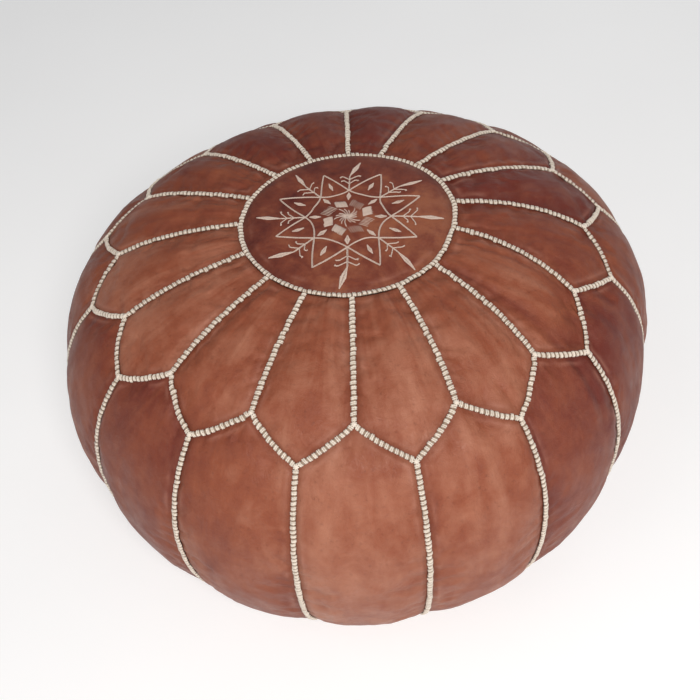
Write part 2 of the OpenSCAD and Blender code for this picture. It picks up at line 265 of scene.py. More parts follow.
def fill_with_air(points, seam):
    """Swells the cover as cloth under pressure while its seams hold, and returns its points."""
    rows, cols = seam.shape
    index = np.arange(rows * cols).reshape(rows, cols)
    right = np.roll(index, -1, axis=1)
    quads = np.stack([index[:-1], right[:-1], right[1:], index[1:]], -1).reshape(-1, 4)
    mesh = bpy.data.meshes.new("cloth")
    mesh.from_pydata(points.reshape(-1, 3).tolist(), [], quads.tolist())
    cloth = bpy.data.objects.new("cloth", mesh)
    bpy.context.collection.objects.link(cloth)
    held = cloth.vertex_groups.new(name="held")
    held.add(index[seam].tolist(), 1.0, "REPLACE")
    sim = cloth.modifiers.new("Cloth", "CLOTH")
    settings = sim.settings
    settings.quality = 6
    settings.tension_stiffness = 8
    settings.compression_stiffness = 8
    settings.shear_stiffness = 5
    settings.bending_stiffness = 0.15
    settings.vertex_group_mass = "held"
    settings.shrink_min = -CLOTH_SLACK
    settings.use_pressure = True
    settings.uniform_pressure_force = 4
    settings.effector_weights.gravity = 0
    sim.collision_settings.use_collision = False
    sim.point_cache.frame_end = CLOTH_FRAMES
    for number in range(1, CLOTH_FRAMES + 1):
        bpy.context.scene.frame_set(number)
    done = cloth.evaluated_get(bpy.context.evaluated_depsgraph_get())
    flat = np.empty(len(mesh.vertices) * 3)
    done.data.vertices.foreach_get("co", flat)
    bpy.context.scene.frame_set(1)
    bpy.data.objects.remove(cloth)
    bpy.data.meshes.remove(mesh)
    return flat.reshape(points.shape)


def cover_points():
    """The filled cover's grid of points: petals above the zigzag row, side panels below it."""
    phi, s, seam, puff = cover_grid()
    lumps = noise(on_skin(phi, s)[0], LUMP_SIZE, 2, seed=1)
    back = smooth(np.sin(phi)) * smooth((s - S_MEDALLION) / 0.06) * smooth((S_WAIST + 0.05 - s) / 0.1)
    # The back starts lower at its seams and fuller between them, for deeper pleats
    swell = (2 + 3 * back) * MM * puff - 2 * MM * back
    start, normals = on_skin(phi, s, swell - SEAM_SINK - SETTLED + LUMPS * lumps)
    move = fill_with_air(start, seam) - start
    far = np.linalg.norm(move, axis=-1, keepdims=True).clip(1e-9)
    return start + move * np.minimum(1, MOST_SWELL / far)


def finer(grid, times):
    """The grid with times as many steps each way, on Catmull-Rom curves; its columns wrap."""
    grid = np.concatenate([grid[:, -2:], grid, grid[:, :3]], axis=1)
    for axis in (0, 1):
        grid = np.swapaxes(grid, 0, axis)
        before = np.concatenate([2 * grid[:1] - grid[1:2], grid[:-2]])
        here, after = grid[:-1], grid[1:]
        beyond = np.concatenate([grid[2:], 2 * grid[-1:] - grid[-2:-1]])
        steps = []
        for x in np.arange(times) / times:
            steps.append(0.5 * (
                (-x + 2 * x ** 2 - x ** 3) * before
                + (2 - 5 * x ** 2 + 3 * x ** 3) * here
                + (x + 4 * x ** 2 - 3 * x ** 3) * after
                + (-x ** 2 + x ** 3) * beyond
            ))
        inner = np.stack(steps, 1).reshape(-1, *grid.shape[1:])
        grid = np.swapaxes(np.concatenate([inner, grid[-1:]]), 0, axis)
    return grid[:, 2 * times:2 * times + COLS * times]


def grid_normals(points):
    down = np.gradient(points, axis=0)
    side = np.roll(points, -1, axis=1) - np.roll(points, 1, axis=1)
    return unit(np.cross(side, down))


def seam_distance(points):
    """How far each point of the fine cover grid is from the nearest seam."""
    rows, cols = points.shape[:2]
    across = np.arange(cols) % FINE_PANEL
    petal_near = np.where(across <= FINE_PANEL // 2, -across, FINE_PANEL - across)
    side_near = FINE_PANEL // 2 - across
    row = np.arange(rows)[:, None]
    col = np.arange(cols)[None, :]
    to_side = np.where(row < FINE_ZIG, petal_near, side_near)
    beside = points[row, (col + to_side) % cols]
    above = points[np.where(row < FINE_ZIG, 0, FINE_ZIG), col]
    below = points[np.where(row <= FINE_ZIG, FINE_ZIG, rows - 1), col]
    gaps = [np.linalg.norm(points - other, axis=-1) for other in (beside, above, below)]
    return np.min(gaps, axis=0)


# -------------------------------- mesh helpers

def new_piece(name, verts, faces, material, node, slot, **attributes):
    """A smooth-shaded mesh that rides on the pouf and stands for a CAD node."""
    mesh = bpy.data.meshes.new(name)
    mesh.from_pydata(np.asarray(verts).tolist(), [], [list(map(int, f)) for f in faces])
    mesh.polygons.foreach_set("use_smooth", [True] * len(mesh.polygons))
    for key, values in attributes.items():
        layer = mesh.attributes.new(key, "FLOAT", "POINT")
        values = np.broadcast_to(np.asarray(values, dtype=np.float32), len(verts))
        layer.data.foreach_set("value", np.ascontiguousarray(values))
    mesh.materials.append(material)
    piece = bpy.data.objects.new(name, mesh)
    bpy.context.collection.objects.link(piece)
    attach(piece, BODY)
    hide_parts(node)
    return piece


def shell(outer, inner):
    """Vertices and faces of a closed sheet between two grids of the same shape."""
    rows, cols = outer.shape[:2]
    index = np.arange(rows * cols).reshape(rows, cols)
    under = index + rows * cols
    top = np.stack([index[:-1, :-1], index[:-1, 1:], index[1:, 1:], index[1:, :-1]], -1)
    low = np.stack([under[:-1, :-1], under[1:, :-1], under[1:, 1:], under[:-1, 1:]], -1)
    rim = np.concatenate([index[:, 0], index[-1, 1:], index[-2::-1, -1], index[0, -2:0:-1]])
    beyond = np.roll(rim, -1)
    walls = np.stack([rim, beyond, beyond + rows * cols, rim + rows * cols], -1)
    faces = np.concatenate([top.reshape(-1, 4), low.reshape(-1, 4), walls])
    return np.concatenate([outer.reshape(-1, 3), inner.reshape(-1, 3)]), faces


def ring_faces(rows, cols, flip=False):
    """Faces of a grid whose columns wrap."""
    index = np.arange(rows * cols).reshape(rows, cols)
    right = np.roll(index, -1, axis=1)
    order = [index[:-1], right[:-1], right[1:], index[1:]]
    return np.stack(order[::-1] if flip else order, -1).reshape(-1, 4)


# Places along a strand, and its girth there: plain, or pinched by the thread that crosses it
STRAND_PLACES = np.array([0, 0.06, 0.25, 0.5, 0.75, 0.94, 1])
ROUND = (0.3, 0.75, 1, 1.05, 1, 0.75, 0.3)
TWO_LOBED = (0.35, 0.95, 1.12, 0.8, 1.12, 0.95, 0.35)


def strands(start, end, up, radius, arch, girth=ROUND):
    """Short arched threads from start to end: their vertices, their faces and how many each has."""
    start, end, up = (np.asarray(x, float) for x in (start, end, up))
    count = len(start)
    radius = np.broadcast_to(radius, count)
    arch = np.broadcast_to(arch, count)
    along = end - start
    up = up - along * (np.sum(up * along, -1) / np.sum(along * along, -1))[:, None]
    up = unit(up)
    side = unit(np.cross(along, up))
    place = STRAND_PLACES
    turn = np.arange(STRAND_SIDES) * 2 * math.pi / STRAND_SIDES
    rise = 1 - (2 * place - 1) ** 2
    middle = start[:, None] + along[:, None] * place[:, None]
    middle = middle + up[:, None] * (arch[:, None] * rise)[..., None]
    size = (radius[:, None] * np.array(girth))[..., None, None]
    ring = side[:, None, None] * np.cos(turn)[:, None] + up[:, None, None] * np.sin(turn)[:, None]
    verts = (middle[:, :, None] + size * ring).reshape(-1, 3)
    one = ring_faces(len(place), STRAND_SIDES)
    each = len(place) * STRAND_SIDES
    first = np.arange(count)[:, None] * each
    quads = (first[:, :, None] + one[None]).reshape(-1, 4)
    low = (first + np.arange(STRAND_SIDES)[::-1]).tolist()
    high = (first + np.arange(each - STRAND_SIDES, each)).tolist()
    return verts, quads.tolist() + low + high, each


def core_cord(points, normals):
    """The flattened cord under a seam's stitches, coloured dark all over as painted shade in the gaps
    between them.
    """
    side = unit(np.cross(unit(np.gradient(points, axis=0)), normals))
    turn = np.arange(CORE_SIDES) * 2 * math.pi / CORE_SIDES
    ring = side[:, None] * (np.cos(turn) * CORE_W / 2)[:, None]
    ring = ring + normals[:, None] * (np.sin(turn) * CORE_H / 2)[:, None]
    verts = (points[:, None] + ring).reshape(-1, 3)
    faces = ring_faces(len(points), CORE_SIDES).tolist()
    first_end = list(range(CORE_SIDES))[::-1]
    last_end = list(range(len(verts) - CORE_SIDES, len(verts)))
    return verts, faces + [first_end, last_end]


def joined(parts):
    """Several (vertices, faces, value) parts as one mesh's lists."""
    verts, faces, values, first = [], [], [], 0
    for part_verts, part_faces, value in parts:
        verts.append(part_verts)
        faces += [[first + v for v in face] for face in part_faces]
        values.append(np.broadcast_to(value, len(part_verts)))
        first += len(part_verts)
    return np.concatenate(verts), faces, np.concatenate(values)


# -------------------------------- materials

class Nodes:
    """A short way to write a material's nodes."""

    def __init__(self, name):
        self.material = bpy.data.materials.new(name)
        self.material.use_nodes = True
        self.tree = self.material.node_tree
        self.shader = self.tree.nodes["Principled BSDF"]

    def feed(self, socket, value):
        """Links another node's output to the socket, or sets the socket's own value."""
        if isinstance(value, bpy.types.NodeSocket):
            self.tree.links.new(value, socket)
        else:
            socket.default_value = value

    def put(self, kind, inputs=None, **settings):
        """Adds a node with its settings, and feeds its inputs."""
        node = self.tree.nodes.new(kind)
        for key, value in settings.items():
            setattr(node, key, value)
        for key, value in (inputs or {}).items():
            self.feed(node.inputs[key], value)
        return node

    def coords(self):
        return self.put("ShaderNodeTexCoord").outputs["Object"]

    def attribute(self, name):
        return self.put("ShaderNodeAttribute", attribute_name=name).outputs["Fac"]

    def down_panels(self, at):
        """Coordinates drawn out five times down the panels, for streaks."""
        split = self.put("ShaderNodeSeparateXYZ", {"Vector": at})
        flat = self.put("ShaderNodeCombineXYZ", {"X": split.outputs["X"], "Y": split.outputs["Y"]})
        r = self.put("ShaderNodeVectorMath", {0: flat.outputs[0]}, operation="LENGTH")
        way = self.put("ShaderNodeVectorMath", {0: flat.outputs[0]}, operation="NORMALIZE")
        way = self.put("ShaderNodeVectorMath", {0: way.outputs[0], "Scale": 0.25}, operation="SCALE")
        down = self.math("SUBTRACT", r.outputs["Value"], split.outputs["Z"])
        down = self.put("ShaderNodeCombineXYZ", {"Z": self.math("MULTIPLY", down, 0.2)})
        both = self.put("ShaderNodeVectorMath", {0: way.outputs[0], 1: down.outputs[0]})
        return both.outputs[0]

    def noise(self, at, scale, detail=4.0, rough=0.55, bend=0.0):
        inputs = {"Vector": at, "Scale": scale, "Detail": detail, "Roughness": rough,
                  "Distortion": bend}
        return self.put("ShaderNodeTexNoise", inputs).outputs["Fac"]

    def math(self, operation, a, b=None, clamp=False):
        inputs = {0: a} if b is None else {0: a, 1: b}
        node = self.put("ShaderNodeMath", inputs, operation=operation, use_clamp=clamp)
        return node.outputs[0]

    def total(self, first, *others):
        """The sum of (value, weight) pairs."""
        result = self.math("MULTIPLY", *first)
        for pair in others:
            result = self.math("ADD", result, self.math("MULTIPLY", *pair))
        return result

    def span(self, value, low, high, to_low=0.0, to_high=1.0):
        inputs = {"Value": value, "From Min": low, "From Max": high, "To Min": to_low,
                  "To Max": to_high}
        return self.put("ShaderNodeMapRange", inputs).outputs["Result"]

    def ramp(self, value, *stops):
        node = self.put("ShaderNodeValToRGB", {"Fac": value})
        points = node.color_ramp.elements
        while len(points) < len(stops):
            points.new(0.5)
        for point, (place, colour) in zip(points, stops):
            point.position = place
            point.color = (*colour, 1)
        return node.outputs["Color"]

    def mix(self, share, a, b):
        """Colour a, mixed with a share of colour b."""
        a, b = (c if isinstance(c, bpy.types.NodeSocket) else (*c, 1) for c in (a, b))
        node = self.put("ShaderNodeMix", {0: share, 6: a, 7: b}, data_type="RGBA")
        return node.outputs[2]

    def bump(self, height, distance, strength=1.0, under=None):
        inputs = {"Height": height, "Distance": distance, "Strength": strength}
        if under is not None:
            inputs["Normal"] = under
        return self.put("ShaderNodeBump", inputs).outputs["Normal"]

    def set(self, **inputs):
        """Feeds the shader's inputs by name, and returns the material."""
        for key, value in inputs.items():
            self.feed(self.shader.inputs[key.replace("_", " ")], value)
        return self.material


# The dyes, from light to dark, then the colour of the painted shade at the seams and of the dark specks,
# and the pale colour of the painted sheen highlight on the ridge beside a seam
TAN = (0.425, 0.173, 0.104)
BROWN = (0.27, 0.073, 0.035)
BURGUNDY = (0.15, 0.028, 0.018)
DARK = (0.07, 0.016, 0.01)
RIDGE_SHEEN = (0.46, 0.205, 0.145)
MEDALLION_DYES = (0.31, 0.1, 0.05), (0.2, 0.048, 0.027), (0.1, 0.02, 0.016)


def leather(name, dyes=(TAN, BROWN, BURGUNDY), stops=(0.5, 0.7, 0.92), cloud=11.0, streaky=True):
    """Hand-dyed goat leather: cloudy dye, fine grain, creases and a waxed satin face.

    The mesh's tint says how dark the colour is: the dye's strength, and on the petals and side panels
    also painted shade low down and in the folds' valleys and creases.
    Its edge is 1 at a seam and fades to 0. It drives painted shade near the seams and a painted sheen
    highlight band about 8 mm in from them.
    """
    n = Nodes(name)
    at = n.coords()
    clouds = n.noise(at, cloud, 5, 0.6, 0.4)
    blots = n.noise(at, 38, 6, 0.65, 0.8)
    specks = n.noise(at, 260, 3, 0.6)
    streaks = n.noise(n.down_panels(at) if streaky else at, 42, 4, 0.6, 0.8)
    dye = n.total((clouds, 0.45), (blots, 0.26), (streaks, 0.33), (n.attribute("tint"), 0.34))
    colour = n.ramp(dye, *zip(stops, dyes))
    edge = n.attribute("edge")
    worn = n.span(n.noise(at, 70, 4, 0.7), 0.45, 0.7)
    # Painted shade: darker towards each seam, where the leather sinks into the seam's valley
    colour = n.mix(n.math("MULTIPLY", edge, 0.6, True), colour, DARK)
    colour = n.mix(n.math("MULTIPLY", worn, 0.12), colour, dyes[0])
    # Painted sheen highlight: a pale band about 8 mm in from each seam, on the ridge the leather makes
    # there, made patchy by noise
    from_band = n.math("SUBTRACT", n.math("MULTIPLY", edge, 8.0), 1.8)
    beside_seam = n.math("SUBTRACT", 1.0, n.math("ABSOLUTE", from_band), True)
    ridge_sheen = n.span(n.noise(at, 24, 3, 0.6), 0.48, 0.62, 0, 0.35)
    colour = n.mix(n.math("MULTIPLY", beside_seam, ridge_sheen), colour, RIDGE_SHEEN)
    colour = n.mix(n.span(specks, 0.58, 0.8, 0, 0.35), colour, DARK)
    grain = n.put("ShaderNodeTexVoronoi", {"Vector": at, "Scale": 1150.0, "Randomness": 1.0},
                  feature="DISTANCE_TO_EDGE").outputs["Distance"]
    grain = n.span(grain, 0.0, 0.12)
    creases = n.noise(at, 95, 5, 0.7, 1.6)
    creases = n.math("ABSOLUTE", n.math("SUBTRACT", creases, 0.5))
    creases = n.span(creases, 0.0, 0.07)
    soft = n.noise(at, 420, 4, 0.6)
    normal = n.bump(creases, 0.00022, 0.55)
    normal = n.bump(soft, 0.0005, 0.5, normal)
    normal = n.bump(grain, 0.00009, 0.6, normal)
    rough = n.span(n.noise(at, 55, 4, 0.6), 0.3, 0.7, 0.36, 0.56)
    return n.set(Base_Color=colour, Roughness=rough, Normal=normal, Specular_IOR_Level=0.23)


def thread(name, pale, dark, twist=2600.0):
    """Twisted cotton or silk thread. deep mixes in the dark colour: it is 1 on the cord under the
    stitches, which is painted shade. It also gives painted shade on the seam strands' lower and outer
    sides and on the embroidery's sparse lozenges, and a tone that varies from stitch to stitch.
    """
    n = Nodes(name)
    at = n.coords()
    fibres = n.noise(at, twist, 3, 0.7)
    dirt = n.noise(at, 24, 4, 0.6)
    colour = n.mix(n.span(dirt, 0.35, 0.75, 0, 0.4), pale, [0.72 * c for c in pale])
    colour = n.mix(n.span(fibres, 0.35, 0.75, 0, 0.5), colour, [0.55 * c for c in pale])
    colour = n.mix(n.attribute("deep"), colour, dark)
    normal = n.bump(fibres, 0.00018, 0.7)
    return n.set(Base_Color=colour, Roughness=0.72, Normal=normal, Sheen_Weight=0.25,
                 Sheen_Roughness=0.5)


def woven(name, colour, pitch):
    """Plain-woven cloth whose threads are pitch metres apart."""
    n = Nodes(name)
    at = n.coords()
    turns = math.pi / pitch
    split = n.put("ShaderNodeSeparateXYZ", {"Vector": at})
    warp = n.math("SINE", n.math("MULTIPLY", split.outputs["X"], turns))
    weft = n.math("SINE", n.math("MULTIPLY", split.outputs["Y"], turns))
    weave = n.math("MULTIPLY", warp, weft)
    cloud = n.noise(at, 40, 4, 0.6)
    tone = n.mix(n.span(weave, -1, 1, 0, 0.45), colour, [0.55 * c for c in colour])
    tone = n.mix(n.span(cloud, 0.3, 0.7, 0, 0.3), tone, [0.75 * c for c in colour])
    normal = n.bump(weave, 0.00025, 0.8)
    return n.set(Base_Color=tone, Roughness=0.85, Normal=normal, Sheen_Weight=0.2)


def brass():
    n = Nodes("brass")
    at = n.coords()
    wear = n.noise(at, 300, 5, 0.7)
    colour = n.ramp(wear, (0.35, (0.36, 0.22, 0.08)), (0.6, (0.7, 0.5, 0.22)))
    normal = n.bump(n.noise(at, 1500, 3, 0.6), 0.00005, 0.5)
    return n.set(Base_Color=colour, Metallic=1.0, Roughness=n.span(wear, 0.3, 0.7, 0.42, 0.22),
                 Normal=normal)


def stuffing():
    n = Nodes("stuffing")
    at = n.coords()
    fluff = n.noise(at, 130, 8, 0.75, 1.5)
    colour = n.ramp(fluff, (0.3, (0.55, 0.5, 0.42)), (0.6, (0.84, 0.82, 0.76)))
    return n.set(Base_Color=colour, Roughness=0.95, Normal=n.bump(fluff, 0.003, 0.8))


LEATHER = leather("leather")
BASE_LEATHER = leather("base_leather", streaky=False)
MEDALLION_LEATHER = leather("medallion_leather", MEDALLION_DYES, (0.58, 0.69, 0.82), 22.0, False)
SEAM_THREAD = thread("seam_thread", (0.88, 0.78, 0.66), (0.27, 0.19, 0.13))
EMBROIDERY = thread("embroidery_thread", (0.68, 0.53, 0.44), (0.3, 0.16, 0.1), 3400.0)
TAPE = woven("zipper_tape", (0.12, 0.05, 0.03), 0.7 * MM)
COTTON = woven("cotton", (0.78, 0.73, 0.62), 0.9 * MM)
BRASS = brass()
STUFFING = stuffing()


# -------------------------------- petals and side panels

def folds(points):
    """Long shallow folds down the panels, in millimetres, and how deep in a valley each point is."""
    phi = np.arctan2(points[..., 1], points[..., 0])
    down = np.cumsum(np.linalg.norm(np.diff(points[:, 0], axis=0, prepend=points[:1, 0]), axis=-1))
    long_way = np.stack([0.2 * np.cos(phi), 0.2 * np.sin(phi), 0.2 * down[:, None] + 0 * phi], -1)
    wave = noise(long_way, 15 * MM, 2, seed=5)
    crease = (1 - 3.5 * np.abs(wave)).clip(0) ** 1.5
    strength = smooth(0.5 + 1.6 * noise(points, 0.12, 1, seed=15))
    slack = np.exp(-((phi + 0.75) / 0.4) ** 2) * smooth((points[..., 2] - 0.22) / 0.05)
    broad = noise(long_way, 24 * MM, 1, seed=16)
    valley = (1 - 2.6 * np.abs(broad)).clip(0) ** 1.3
    height = strength * (1.0 * wave - 0.4 * crease) + slack * (3.2 * broad - 3.4 * valley)
    # The second value paints shade in the valleys of the broad folds and in the fine creases
    return height, slack * valley + 0.1 * strength * crease


def finish_cover():
    """The cover's fine grid with its wrinkles, its normals, its distance from the seams, its valleys."""
    points = finer(cover_points(), FINER)
    normals = grid_normals(points)
    gap = seam_distance(points)
    free = smooth(gap / (9 * MM))
    ripple = noise(points, 7 * MM, 2, seed=2) * np.exp(-gap / (9 * MM)) * smooth(gap / (3 * MM))
    lumps = 0.9 * noise(points, 38 * MM, 2, seed=3) + 0.35 * noise(points, 13 * MM, 2, seed=4)
    ridge = np.exp(-((gap - 8 * MM) / (2.6 * MM)) ** 2)
    ridge = ridge * (0.3 + 0.6 * noise(points, 45 * MM, 1, seed=6))
    fold, valley = folds(points)
    relief = lumps * free + 0.7 * ripple + ridge + fold * free
    points = points + normals * (MM * relief)[..., None]
    points[..., 2] = points[..., 2].clip(0.3 * MM)
    return points, grid_normals(points), gap, valley * free


# How dark and red each piece of leather is dyed: 0 is tan, and 1 and over is burgundy
PETAL_TINTS = [0.4, 0.5, 0.3, 0.35, 0.6, 0.75, 0.95, 1, 1.3, 0.8, 1, 1.3, 0.8, 0.5, 0.4, 0.35]
SIDE_TINTS = [0.25, 0.6, 0.85, 0.8, 0.75, 0.7, 0.4, 0.8, 0.5, 0.35, 0.65, 0.45, 0.7, 1, 0.95, 0.45]
# Painted shade: how much darker the petals and side panels get towards the floor
PAINTED_SHADE_LOW = 0.45
# Painted shade: how much darker the leather gets in the folds' valleys and creases
PAINTED_SHADE_IN_FOLDS = 0.4
SEAM_SHADE = 5.5 * MM
MEDALLION_SHADE = 5 * MM
BASE_SHADE = 5 * MM


def leather_panel(name, rows, cols, tint):
    """One piece of leather: a part of the cover's grid, drawn in by the gap on every side."""
    outer = COVER[rows][:, cols].copy()
    normals = COVER_NORMALS[rows][:, cols]
    inner = outer - normals * LEATHER_T
    for grid in (outer.swapaxes(0, 1), outer, inner.swapaxes(0, 1), inner):
        for rim, beside in ((0, 1), (-1, -2)):
            grid[rim] += unit(grid[beside] - grid[rim]) * HALF_GAP
    verts, faces = shell(outer, inner)
    # The edge paints shade near the seams. On the inner face it is 1 all over, so that face is all
    # painted shade
    edge = np.exp(-COVER_GAP[rows][:, cols].ravel() / SEAM_SHADE)
    edge = np.concatenate([edge, np.ones_like(edge)])
    valley = np.tile(COVER_VALLEY[rows][:, cols].ravel(), 2)
    # Painted shade added to the tint: darker towards the floor, and in the folds' valleys and creases
    low = smooth((0.13 - verts[:, 2]) / 0.12)
    tint = tint + PAINTED_SHADE_LOW * low + PAINTED_SHADE_IN_FOLDS * valley
    return new_piece(name, verts, faces, LEATHER, name, "leather", tint=tint, edge=edge)


def petals_and_sides():
    last = COVER.shape[0]
    for i in range(PANELS):
        span = np.arange(i * FINE_PANEL, (i + 1) * FINE_PANEL + 1)
        name = f"petal_{i + 1:02d}"
        leather_panel(name, slice(0, FINE_ZIG + 1), span % FINE_COLS, PETAL_TINTS[i])
        span = span - FINE_PANEL // 2
        name = f"side_panel_{i + 1:02d}"
        leather_panel(name, slice(FINE_ZIG, last), span % FINE_COLS, SIDE_TINTS[i])


# -------------------------------- medallion and its embroidery

def medallion_top(x, y):
    """Points of the medallion's outer face over the plan points x, y."""
    r = np.hypot(x, y)
    share = (r / MEDALLION_R).clip(0, 1)
    phi = np.arctan2(y, x)
    edge = (SEAM_SINK + SETTLED) * share ** 16
    dome = 1.6 * MM * (1 - share ** 2) - edge
    points, normals = on_skin(phi, np.interp(r, SKIN_R[SKIN_T <= 90], SKIN_S[SKIN_T <= 90]))
    lumps = LUMPS * noise(points, LUMP_SIZE, 2, seed=1)
    lumps += (0.5 * noise(points, 0.03, 2, seed=8) + 0.25 * noise(points, 0.012, 2, seed=9)) * MM
    return points + normals * (dome + lumps)[..., None]


def medallion():
    """The medallion, a square grid bent into a disc."""
    side = np.linspace(-1, 1, 97)
    u, v = np.meshgrid(side, side, indexing="ij")
    x = u * np.sqrt(1 - v ** 2 / 2)
    y = v * np.sqrt(1 - u ** 2 / 2)
    edge_r = MEDALLION_R - HALF_GAP
    outer = medallion_top(x * edge_r, y * edge_r)
    verts, faces = shell(outer[::-1], outer[::-1] - np.array([0, 0, LEATHER_T]))
    gap = (MEDALLION_R - np.hypot(verts[:, 0], verts[:, 1])).clip(0)
    # The tint grows towards the back and the left, so the medallion is darker there
    new_piece("medallion", verts, faces, MEDALLION_LEATHER, "medallion", "medallion_leather",
              tint=0.5 + (0.22 * verts[:, 1] - 0.15 * verts[:, 0]) / MEDALLION_R,
              edge=np.exp(-gap / MEDALLION_SHADE))


def at_medallion(r, degrees):
    """Plan point at a share r of the medallion's radius and an angle in degrees."""
    angle = np.radians(degrees)
    return np.stack([r * np.cos(angle), r * np.sin(angle)], -1) * MEDALLION_R


# The pattern's branches, and the degrees from one to the middle of the gap after it
BRANCHES = 8
HALF_BRANCH = 22.5

# How the hand-sewn pattern strays: degrees turned and stretch each half branch round, and its
# shift towards the front
SEWN_TURN = [-4, -3, -7, -7, -3, -3, -5, -4, -3, -5, -3.5, -4, -1, 0.5, -3.5, -4]
SEWN_STRETCH = [1.02, 1.01, 0.98, 0.97, 0.97, 0.98, 0.99, 1.01, 0.97, 0.97, 1.03, 1.02, 1.05, 1.01,
                1.06, 1]
SEWN_SHIFT = 4 * MM


def sewn(plan):
    """Moves the drawn pattern to where it was sewn, nearer the front and not quite even."""
    place = np.degrees(np.arctan2(plan[..., 1], plan[..., 0])) % 360 / HALF_BRANCH
    every = np.arange(len(SEWN_TURN) + 1)
    turn = np.radians(np.interp(place, every, SEWN_TURN + SEWN_TURN[:1]))
    stretch = np.interp(place, every, SEWN_STRETCH + SEWN_STRETCH[:1])
    x = plan[..., 0] * np.cos(turn) - plan[..., 1] * np.sin(turn)
    y = plan[..., 0] * np.sin(turn) + plan[..., 1] * np.cos(turn)
    return np.stack([x * stretch, y * stretch - SEWN_SHIFT], -1)


def lay(plan):
    """Plan points laid on the medallion."""
    return medallion_top(plan[..., 0], plan[..., 1]) + np.array([0, 0, 0.25 * MM])


def perp(direction):
    return np.stack([-direction[..., 1], direction[..., 0]], -1)


def stem_stitch(plan, shift, every=2.0 * MM, reach=1.7 * MM, slant=0.2 * MM):
    """Start and end points of a line of overlapping stitches along a plan curve."""
    step = np.diff(plan, axis=0)
    arc = np.concatenate([[0], np.cumsum(np.hypot(step[:, 0], step[:, 1]))])
    count = max(2, int(round(arc[-1] / every)))
    middle = (np.arange(count) + 0.5) * arc[-1] / count

    def at(distance):
        distance = distance.clip(0, arc[-1])
        return np.stack([np.interp(distance, arc, plan[:, k]) for k in (0, 1)], -1)

    a, b = at(middle - reach), at(middle + reach)
    side = unit(perp(b - a))
    return a + side * (shift + slant), b + side * (shift - slant)


def satin_leaf(plan_a, plan_b, half_width, lean=0.9 * MM):
    """Start and end points of stitches from a leaf's midrib out to both edges."""
    axis = plan_b - plan_a
    length = np.hypot(*axis)
    axis = axis / length
    side = perp(axis)
    count = int(length / SATIN_PITCH)
    t = (np.arange(count) + 0.5) / count
    width = half_width * (1 - np.abs(2 * t - 1)) ** 0.8
    rib = plan_a + axis * (t * length)[:, None]
    starts, ends = [], []
    for sign in (1, -1):
        tip = rib + axis * lean + side * (sign * width)[:, None]
        starts.append(rib - axis * lean * 0.4)
        ends.append(tip)
    return np.concatenate(starts), np.concatenate(ends)


def thread_piece(name, groups):
    """One piece of embroidery from (starts, ends, radius, shade) groups of stitches."""
    parts = []
    for starts, ends, radius, shade in groups:
        jitter = rng.normal(0, 0.07 * MM, starts.shape)
        a, b = lay(sewn(starts + jitter)), lay(sewn(ends - jitter))
        up = np.broadcast_to([0.0, 0.0, 1.0], a.shape)
        size = radius * rng.uniform(0.85, 1.12, len(a))
        verts, faces, each = strands(a, b, up, size, 0.35 * MM)
        tone = np.clip(shade + rng.uniform(-0.1, 0.1, len(a)), 0, 1)
        parts.append((verts, faces, np.repeat(tone, each)))
    verts, faces, shade = joined(parts)
    new_piece(name, verts, faces, EMBROIDERY, name, "embroidery_thread", deep=shade)


def double_line(plan):
    """Two lines of stem stitches side by side."""
    groups = []
    for shift in (-0.36 * MM, 0.36 * MM):
        groups.append((*stem_stitch(plan, shift), THREAD_R, 0.05))
    return groups


# The star's lines start this share of the medallion's radius out, and reach this much further
STAR_WAIST = 0.345
STAR_REACH = 0.365


def embroidered_star():
    groups = []
    turn = np.linspace(-45, 45, 61)
    r = STAR_WAIST + STAR_REACH * (np.abs(turn) / 45) ** 2.7
    for k in range(BRANCHES):
        groups += double_line(at_medallion(r, (2 * k + 1) * HALF_BRANCH + turn))
    thread_piece("embroidered_star", groups)


# How far each branch's leaf leans from its stem, in degrees
LEAF_LEAN = [0, 20, 22, 14, 10, 28, 15, 8]


def embroidered_branches():
    groups = []
    for k in range(BRANCHES):
        spine = 2 * k * HALF_BRANCH
        groups += double_line(at_medallion(np.linspace(0.4, 0.64, 12), spine + np.zeros(12)))
        way = at_medallion(1, spine) / MEDALLION_R
        for root, width in ((0.505, 5.8 * MM), (0.575, 7.4 * MM)):
            for sign in (1, -1):
                out = np.linspace(0, 1, 12)[:, None]
                twig = way * (root * MEDALLION_R + 5.4 * MM * out)
                twig = twig + sign * perp(way) * width * rng.uniform(0.85, 1.1) * out
                curl = sign * perp(way) * 1.9 * MM - way * rng.uniform(-0.4, 1.6) * MM
                twig = np.concatenate([twig, twig[-1:] + curl])
                groups.append((*stem_stitch(twig, 0, 1.3 * MM, 1.1 * MM, 0.1 * MM), 0.48 * MM, 0.1))
                dot = twig[-1] + rng.normal(0, 0.2 * MM, (4, 2))
                groups.append((dot, dot + rng.normal(0, 0.5 * MM, (4, 2)), 0.5 * MM, 0.0))
        a = at_medallion(0.635, spine)
        b = a + 0.235 * at_medallion(1, spine - LEAF_LEAN[k])
        groups.append((*satin_leaf(a, b, 2.3 * MM), 0.4 * MM, 0.0))
    thread_piece("embroidered_branches", groups)


def embroidered_leaves():
    groups = []
    for k in range(BRANCHES):
        for place, r, half in ((2 * k + 1, (0.43, 0.55), 1.9 * MM), (2 * k, (0.25, 0.36), 2.2 * MM)):
            a, b = at_medallion(np.array(r), np.full(2, place * HALF_BRANCH))
            groups.append((*satin_leaf(a, b, half, 0.5 * MM), 0.38 * MM, 0.05))
    thread_piece("embroidered_leaves", groups)


# The rosette's lozenges: how far out, their half width and length, and which are sewn close
LOZENGE_R = 17.6 * MM
LOZENGE_HALF_W = 5.0 * MM
LOZENGE_HALF_L = 4.2 * MM
LOZENGE_SLANT = 1.2 * MM
LOZENGE_DENSE = [True, False, True, False, True, True, False, False]


